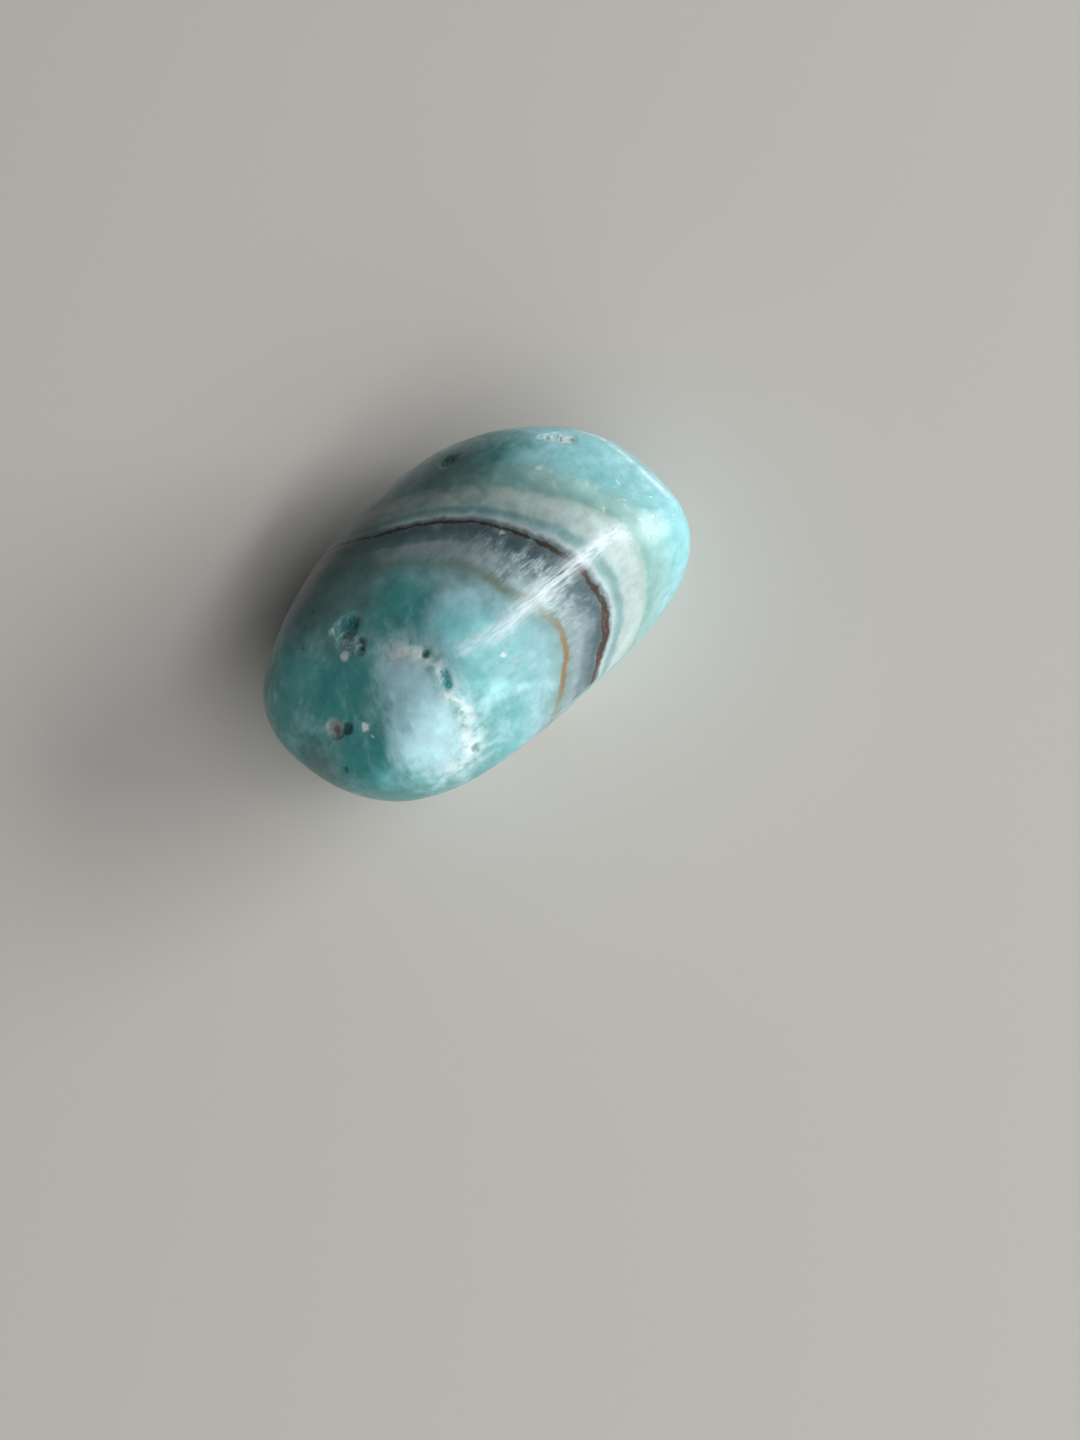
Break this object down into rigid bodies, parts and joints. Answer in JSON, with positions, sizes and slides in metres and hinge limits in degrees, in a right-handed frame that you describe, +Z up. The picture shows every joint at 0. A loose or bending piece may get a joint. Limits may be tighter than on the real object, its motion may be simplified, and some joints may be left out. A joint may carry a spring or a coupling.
{
  "type": "tumbled blue aragonite stone",
  "caption": "Polished tumbled stone of banded blue aragonite, longer than wide, with a soft ridge on top and a small flat spot to lie on.",
  "frame": {"origin": "on the surface that the stone lies on, under the middle of its bounding box", "axes": "+X along the stone towards its blunt end, +Z up, +Y towards its broad, gently falling side"},
  "size_m": [0.0366, 0.0244, 0.0172],
  "materials": {
    "blue_aragonite": "polished blue-green stone with white, grey and brown growth bands"
  },
  "bodies": {
    "root": {"aragonite_stone": "blue_aragonite"}
  },
  "joints": []
}
